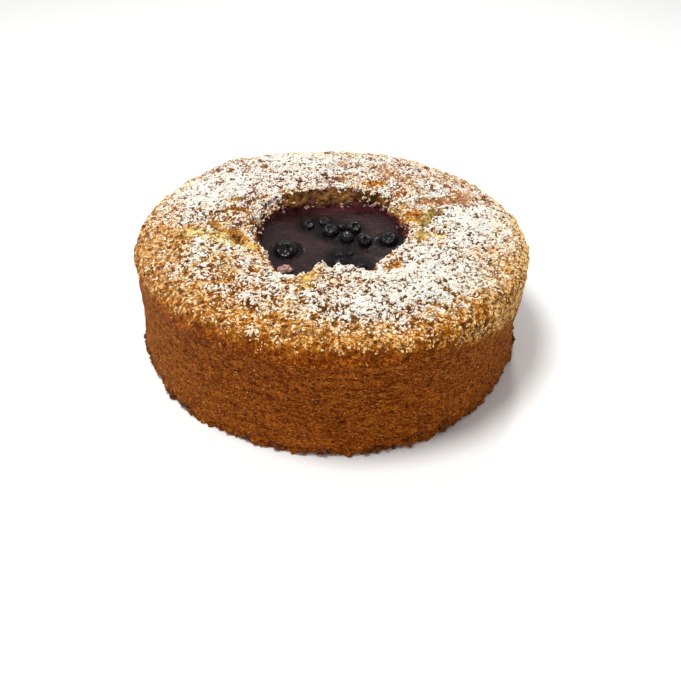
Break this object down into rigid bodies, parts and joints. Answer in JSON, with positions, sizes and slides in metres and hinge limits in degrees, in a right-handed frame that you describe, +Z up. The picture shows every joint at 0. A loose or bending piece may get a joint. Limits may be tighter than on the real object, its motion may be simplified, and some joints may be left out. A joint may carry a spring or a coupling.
{
  "type": "yogurt cake",
  "caption": "Round low sponge cake with straight sides, a lightly domed crust and a ragged crater in the top holding fruit filling and berries.",
  "frame": {"origin": "on the flat underside, under the middle of the cake's outline", "axes": "+Z up through the cake; -Y towards the picture's viewer, +X to the viewer's right"},
  "size_m": [0.1636, 0.1622, 0.0537],
  "materials": {
    "crust": "baked sponge, matt",
    "fruit_filling": "wet fruit jelly, glossy",
    "berry_skin": "wet berry skin, glossy",
    "crumb": "juice-stained crumb, matt"
  },
  "bodies": {
    "root": {"cake": "crust", "filling": "fruit_filling", "crumb_lump": "crumb", "berry_01": "berry_skin", "berry_02": "berry_skin", "berry_03": "berry_skin", "berry_04": "berry_skin", "berry_05": "berry_skin", "berry_06": "berry_skin", "berry_07": "berry_skin", "berry_08": "berry_skin", "berry_09": "berry_skin", "berry_10": "berry_skin", "berry_11": "berry_skin", "berry_12": "berry_skin", "berry_13": "berry_skin"}
  },
  "joints": []
}
